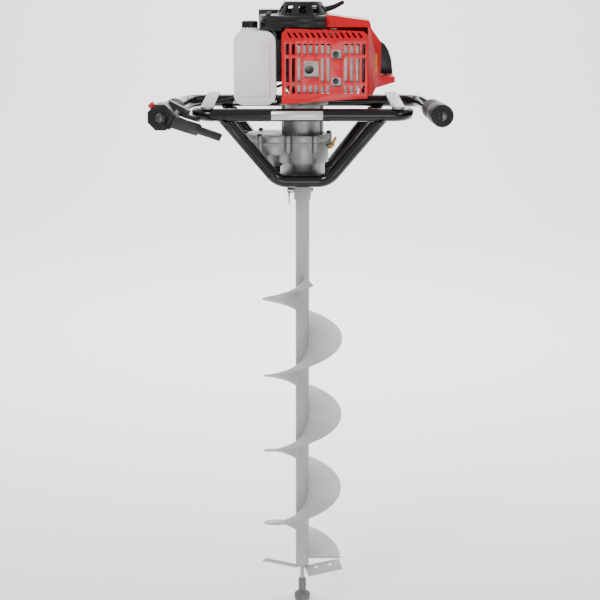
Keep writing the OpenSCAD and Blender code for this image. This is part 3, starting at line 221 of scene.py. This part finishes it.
# The straps' grey metallic colour, streaked along their length, is a painted reflection of the overhead
# light on their flat tops; the straps themselves are glossy black paint like the frame.
strap_reflection_finish = finish("black strap with painted reflection", (0.33, 0.34, 0.35), rough=0.34, metal=0.75, patch=30,
                      spread=0.2, grain=500, relief=0.12, scuff=0.5, scuff_colour=(0.08, 0.08, 0.08),
                      stretch=(1, 0.15, 1))
bevelled("side_straps", 0.0008, strap_reflection_finish)
plate_finish = finish("brushed bare sheet", (0.62, 0.63, 0.64), rough=0.3, metal=0.7, patch=20,
                      spread=0.08, grain=700, relief=0.15, stretch=(0.05, 1, 1))
bevelled("label_plate", 0.0003, plate_finish)
rivet_finish = finish("aluminium rivet", (0.5, 0.5, 0.5), rough=0.3, metal=0.9, grain=1500)
rivet_inset, rivet_r, rivet_proud, rivet_flatness = 0.006, 0.0022, 0.0006, 0.35
plate_low, plate_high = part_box("label_plate")
for side, x in (("left", plate_low[0] + rivet_inset), ("right", plate_high[0] - rivet_inset)):
    bpy.ops.object.select_all(action="DESELECT")
    bpy.ops.mesh.primitive_uv_sphere_add(segments=20, ring_count=10, radius=rivet_r,
                                         location=(x, plate_low[1] + rivet_proud,
                                                   0.5 * (plate_low[2] + plate_high[2])))
    rivet = bpy.context.object
    rivet.name = "plate_rivet_" + side
    rivet.scale = (1, rivet_flatness, 1)
    bpy.ops.object.transform_apply(location=True, rotation=True, scale=True)
    bpy.ops.object.shade_smooth()
    rivet.data.materials.append(rivet_finish)
    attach(rivet, "root")

# ---- gearbox and clutch neck ----
# Two cast aluminium halves with a rough skin are bolted together round the gears,
# and the clutch housing's machined neck stands on the upper one.

cast_finish = finish("cast aluminium", (0.27, 0.27, 0.265), rough=0.36, metal=0.95, patch=24, spread=0.2,
                     grain=650, relief=0.3, scuff=0.4, scuff_colour=(0.5, 0.5, 0.49))
for node in ("lower_gear_case", "upper_gear_case", "clutch_housing", "crankcase_lower", "crankcase_upper"):
    bevelled(node, 0.0009, cast_finish)
bolt_finish = finish("blackened bolt", (0.06, 0.06, 0.062), rough=0.32, metal=0.85, patch=80, spread=0.25,
                     grain=1200)
bevelled("bolts", 0.0004, bolt_finish)
brass_finish = finish("brass", (0.62, 0.42, 0.16), rough=0.3, metal=0.95, patch=90, spread=0.15,
                      grain=1500)
bevelled("grease_fitting", 0.0003, brass_finish)
bevelled("throttle_arm", 0.0003, brass_finish)

# ---- machined parts ----
# Shafts, gears, bearings, clutch, crank and piston are turned or cut from steel,
# with fine tool marks round them.

muffler_finish = finish("heat stained muffler", (0.38, 0.37, 0.36), rough=0.38, metal=0.9, patch=45,
                        spread=0.45, grain=500, relief=0.2, scuff=0.6, scuff_colour=(0.05, 0.045, 0.04))
machined_finish = finish("machined steel", (0.5, 0.5, 0.5), rough=0.26, metal=0.95, patch=50, spread=0.1,
                         grain=1400, relief=0.15, stretch=(1, 1, 8))
lining_finish = finish("clutch lining", (0.11, 0.08, 0.06), rough=0.8, patch=120, spread=0.3, grain=1500,
                       relief=0.4)
finish_of = {"machined_steel": machined_finish, "clutch_lining": lining_finish, "cast_alloy": cast_finish,
             "brass_fitting": brass_finish, "bolt_steel": bolt_finish, "frame_paint": frame_paint}
for node in ("bearings", "clutch_drum", "layshaft", "layshaft_gear", "output_gear", "output_shaft",
             "clutch_hub", "clutch_shoe_left", "clutch_shoe_right", "crankshaft", "connecting_rod", "piston",
             "flywheel", "ignition_coil", "engine_cylinder", "muffler", "hitch_pin", "carburettor"):
    clad(node, muffler_finish if node == "muffler" else finish_of.get(slot_of[node], machined_finish))
ceramic_finish = finish("white ceramic", (0.8, 0.79, 0.76), rough=0.18, coat=0.4, grain=800, relief=0.03)
clad("spark_plug", ceramic_finish)

# ---- red engine covers ----
# The muffler guard and the cylinder hood are moulded in red plastic with a high
# gloss. The guard has rows of slots, and the hood carries one bare yellow stripe.

red_finish = finish("glossy red plastic", (0.56, 0.0, 0.008), rough=0.2, coat=0.1, patch=18, spread=0.07,
                    grain=420, relief=0.05, shine=0.3)
bevelled("muffler_cover", 0.0011, red_finish, steps=3, corner=30)
bevelled("cylinder_cover", 0.0016, red_finish, steps=3, corner=25)


def rounded_block(name, centre, size, radius, steps):
    """A block with rounded edges, with its place in its mesh."""
    bpy.ops.object.select_all(action="DESELECT")
    bpy.ops.mesh.primitive_cube_add(size=1, location=centre)
    block = bpy.context.object
    block.name = name
    block.scale = size
    bpy.ops.object.transform_apply(location=True, rotation=True, scale=True)
    rounding = block.modifiers.new("edges", "BEVEL")
    rounding.width = radius
    rounding.segments = steps
    apply_modifiers(block)
    return block


stripe_place = (0.128, -0.0601, 1.056)
stripe_size = (0.0032, 0.0004, 0.032)
stripe = rounded_block("hood_stripe", stripe_place, stripe_size, 0.00018, 2)
stripe_finish = finish("yellow stripe", (0.65, 0.3, 0.0), rough=0.4, patch=90, spread=0.15, grain=900)
stripe.data.materials.append(stripe_finish)
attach(stripe, "root")

# ---- black plastic and rubber engine parts ----
# The fan shroud, recoil housing, air filter box, plug boot, caps and levers are
# moulded in black plastic with a fine spark-eroded texture.

black_finish = finish("textured black plastic", (0.006, 0.006, 0.0065), rough=0.3, patch=25, spread=0.3,
                      grain=1600, relief=0.22, shine=0.35, scuff=0.2, scuff_colour=(0.02, 0.02, 0.02))
for node, width in (("fan_shroud", 0.001), ("recoil_housing", 0.0012), ("air_filter_cover", 0.0018),
                    ("fuel_cap", 0.0006), ("choke_lever", 0.0005), ("tank_bracket", 0.0006),
                    ("throttle_housing", 0.0012), ("throttle_lever", 0.001), ("safety_lever", 0.0008),
                    ("plug_cap", 0.001), ("starter_pulley", 0.0004)):
    bevelled(node, width, black_finish)
foam_finish = finish("filter foam", (0.30, 0.24, 0.14), rough=0.95, patch=90, spread=0.2, grain=900,
                     relief=0.8)
clad("air_filter_element", foam_finish)
rubber_finish = finish("soft black rubber", (0.006, 0.006, 0.006), rough=0.45, patch=60, spread=0.3,
                       grain=1300, relief=0.3, shine=0.3)
for node in ("starter_grip", "throttle_cable", "fuel_line"):
    bevelled(node, 0, rubber_finish)
rope_finish = finish("braided rope", (0.7, 0.7, 0.68), rough=0.8, patch=300, spread=0.15, grain=2500,
                     relief=0.6)
rope_low, rope_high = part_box("starter_rope")
rope_x, rope_z = 0.5 * (rope_low[0] + rope_high[0]), 0.5 * (rope_low[2] + rope_high[2])
rope_r = 0.5 * (rope_high[2] - rope_low[2])
rope_steps, rope_sides = 60, 12
rope_strands, strand_depth, strand_twist = 3, 0.07, 0.9


def swept(name, rings):
    """A closed skin over rings of points, with a flat face at each end."""
    piece = bpy.data.objects.new(name, bpy.data.meshes.new(name))
    bpy.context.collection.objects.link(piece)
    skin = bmesh.new()
    loops = [[skin.verts.new(point) for point in ring] for ring in rings]
    for near, far in zip(loops, loops[1:]):
        for k, start in enumerate(near):
            after = (k + 1) % len(near)
            skin.faces.new((start, far[k], far[after], near[after]))
    skin.faces.new(loops[0])
    skin.faces.new(loops[-1][::-1])
    bmesh.ops.recalc_face_normals(skin, faces=skin.faces)
    skin.to_mesh(piece.data)
    skin.free()
    return piece


def strand_point(step, side):
    """A point on the twisted strands of the cord, which runs along Y."""
    angle = 2 * pi * side / rope_sides
    r = rope_r * (1 - strand_depth + strand_depth * cos(rope_strands * angle + step * strand_twist))
    y = rope_low[1] + (rope_high[1] - rope_low[1]) * step / rope_steps
    return (rope_x + r * cos(angle), y, rope_z + r * sin(angle))


rope = swept("starter_cord", [[strand_point(step, side) for side in range(rope_sides)]
                              for step in range(rope_steps + 1)])
alone(rope)
bpy.ops.object.shade_smooth_by_angle(angle=radians(50))
rope.data.materials.append(rope_finish)
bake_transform(rope)
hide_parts("starter_rope")

# ---- fuel tank ----
# One blow-moulded translucent white bottle with soft corners, a raised neck and a
# shallow moulded panel on its front.

tank_finish = finish("milky tank plastic", (0.93, 0.935, 0.92), rough=0.34, coat=0.15, patch=9,
                     spread=0.05, grain=260, relief=0.08)
tank_shader = tank_finish.node_tree.nodes["Principled BSDF"]
tank_shader.inputs["Subsurface Weight"].default_value = 0.25
tank_shader.inputs["Subsurface Radius"].default_value = (0.01, 0.01, 0.009)
tank_low, tank_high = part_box("fuel_tank")
tank_middle = 0.5 * (tank_low[0] + tank_high[0])
bevelled("fuel_tank", 0.006, tank_finish, steps=5, corner=30)
panel_size, panel_sunk, panel_height = (0.054, 0.003, 0.092), 0.0004, 1.043
panel_place = (tank_middle, tank_low[1] - panel_sunk, panel_height)
panel = rounded_block("tank_panel", panel_place, panel_size, 0.0012, 3)
bpy.ops.object.shade_smooth_by_angle(angle=radians(40))
panel.data.materials.append(tank_finish)
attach(panel, "root")
shoulder_place = (-0.093, -0.014, 1.1125)
bpy.ops.object.select_all(action="DESELECT")
bpy.ops.mesh.primitive_cone_add(vertices=40, radius1=0.019, radius2=0.0125, depth=0.006,
                                location=shoulder_place)
shoulder = bpy.context.object
shoulder.name = "tank_shoulder"
bpy.ops.object.transform_apply(location=True, rotation=True, scale=True)
bpy.ops.object.shade_smooth_by_angle(angle=radians(40))
shoulder.data.materials.append(tank_finish)
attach(shoulder, "root")

# The seam where the two halves of the mould met runs round the bottle's sides.
seam_y, seam_height, seam_proud = -0.008, 1.0465, 0.0008
seam_size = (tank_high[0] - tank_low[0] + seam_proud, 0.0012, 0.1)
seam = rounded_block("tank_seam", (tank_middle, seam_y, seam_height), seam_size, 0.0005, 2)
seam.data.materials.append(tank_finish)
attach(seam, "root")

# ---- grips and stop button ----
# Ribbed rubber grips are pushed on to the bar's two ends, and a red button stops
# the engine.

for node in ("left_grip", "right_grip"):
    bevelled(node, 0.0007, rubber_finish)

end_bolt = finish("dark end bolt", (0.09, 0.09, 0.095), rough=0.25, metal=0.9, patch=200, spread=0.2,
                  grain=1500)


def bolt_cap(name, lean, place):
    """A rounded hex head that closes the end of a grip."""
    bpy.ops.object.select_all(action="DESELECT")
    bpy.ops.mesh.primitive_cylinder_add(vertices=6, radius=0.0086, depth=0.0052, location=place,
                                        rotation=(pi / 2, 0, lean))
    head = bpy.context.object
    head.name = name
    bpy.ops.object.transform_apply(location=True, rotation=True, scale=True)
    edges = head.modifiers.new("edges", "BEVEL")
    edges.width = 0.0009
    edges.segments = 3
    apply_modifiers(head)
    bpy.ops.object.shade_smooth_by_angle(angle=radians(35))
    head.data.materials.append(end_bolt)
    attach(head, "root")


handle_splay = radians(3.84)
bolt_cap("right_end_bolt", -handle_splay, (0.2345, -0.1664, 0.976))
bolt_cap("left_end_bolt", handle_splay, (-0.2363, -0.1919, 0.976))
button_finish = finish("red button", (0.7, 0.012, 0.012), rough=0.3, coat=0.3, patch=60, spread=0.08,
                       grain=1200)
bevelled("stop_button", 0.0016, button_finish, steps=3)

# ---- ice screw ----
# A steel tube with one screw blade, two cutting blades and a point, all in a faded
# pale grey paint that is thin at the edges.

screw_paint = finish("faded grey paint", (0.40, 0.40, 0.405), rough=0.5, patch=12, spread=0.05, grain=500,
                     relief=0.1, scuff=0.35, scuff_colour=(0.36, 0.36, 0.37))
point_paint = finish("dark point", (0.16, 0.16, 0.165), rough=0.5, metal=0.3, patch=60, spread=0.2,
                     grain=900)
for node, width, paint in (("auger_tube", 0.0005, screw_paint), ("cutting_blades", 0.0005, screw_paint),
                           ("tip_cap", 0.0008, point_paint)):
    bevelled(node, width, paint)
flight_turns, flight_pitch, flight_low = 3.8, 0.15, 0.092
flight_steps = 72
flight_root, flight_middle, flight_flat, flight_edge = 0.0131, 0.04, 0.0735, 0.0748
half_thick, half_edge = 0.0017, 0.0012
flight_outline = ((flight_root, half_thick), (flight_middle, half_thick), (flight_flat, half_thick),
                  (flight_edge, half_edge), (flight_edge, -half_edge), (flight_flat, -half_thick),
                  (flight_middle, -half_thick), (flight_root, -half_thick))


def flight_ring(step):
    """The blade's outline, turned and raised along the screw."""
    turn = 2 * pi * step / flight_steps
    height = flight_low + flight_pitch * step / flight_steps
    return [(r * cos(turn), r * sin(turn), height + h) for r, h in flight_outline]


flight = swept("screw_flight", [flight_ring(step) for step in range(int(flight_turns * flight_steps) + 1)])
alone(flight)
bpy.ops.object.shade_smooth_by_angle(angle=radians(40))
flight.data.materials.append(screw_paint)
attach(flight, "auger")
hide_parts("auger_flight")

# ---- studio ----
# A plain white floor that rises behind the machine, under broad soft lights.

bpy.ops.object.select_all(action="DESELECT")
floor_size, floor_drop, wall_height, wall_line, fold_r = 14, 0.0005, 7, 5, 2.5
bpy.ops.mesh.primitive_plane_add(size=floor_size, location=(0, -1, -floor_drop))
floor = bpy.context.object
floor.name = "floor"
bpy.ops.object.transform_apply(location=True, rotation=True, scale=True)
sweep = bmesh.new()
sweep.from_mesh(floor.data)
back = [edge for edge in sweep.edges if all(v.co.y > wall_line for v in edge.verts)]
raised = bmesh.ops.extrude_edge_only(sweep, edges=back)
top = [v for v in raised["geom"] if isinstance(v, bmesh.types.BMVert)]
bmesh.ops.translate(sweep, vec=(0, 0, wall_height), verts=top)
fold = [edge for edge in sweep.edges if all(v.co.y > wall_line and v.co.z < 1 for v in edge.verts)]
bmesh.ops.bevel(sweep, geom=fold, offset=fold_r, segments=16, profile=0.5, affect="EDGES")
sweep.to_mesh(floor.data)
sweep.free()
bpy.ops.object.shade_smooth()
floor_finish = finish("studio floor", (0.93, 0.93, 0.93), rough=0.8, spread=0.005, relief=0.0, shine=0.1)
floor.data.materials.append(floor_finish)
for name, place, aim, power, size in (
        ("key", (-1.2, -1.7, 2.5), (0, 0, 1.0), 34, 0.8),
        ("fill", (2.0, -1.8, 1.9), (0, 0, 0.9), 14, 0.9),
        ("low", (0.3, -2.4, 0.6), (0, 0, 0.5), 8, 0.8),
        ("backdrop", (0, 1.6, 3.4), (0, 5.5, 0.5), 420, 3),
        ("rim", (0.7, 1.5, 2.3), (0, 0, 1.0), 26, 0.8)):
    lamp = bpy.data.objects.new(name, bpy.data.lights.new(name, "AREA"))
    lamp.data.energy = power
    lamp.data.size = size
    lamp.location = place
    lamp.rotation_euler = (Vector(aim) - Vector(place)).to_track_quat("-Z", "Y").to_euler()
    bpy.context.collection.objects.link(lamp)
world = bpy.data.worlds.new("studio")
world.use_nodes = True
sky = world.node_tree.nodes["Background"]
sky.inputs["Color"].default_value = (1, 1, 1, 1)
sky.inputs["Strength"].default_value = 0.7
bpy.context.scene.world = world
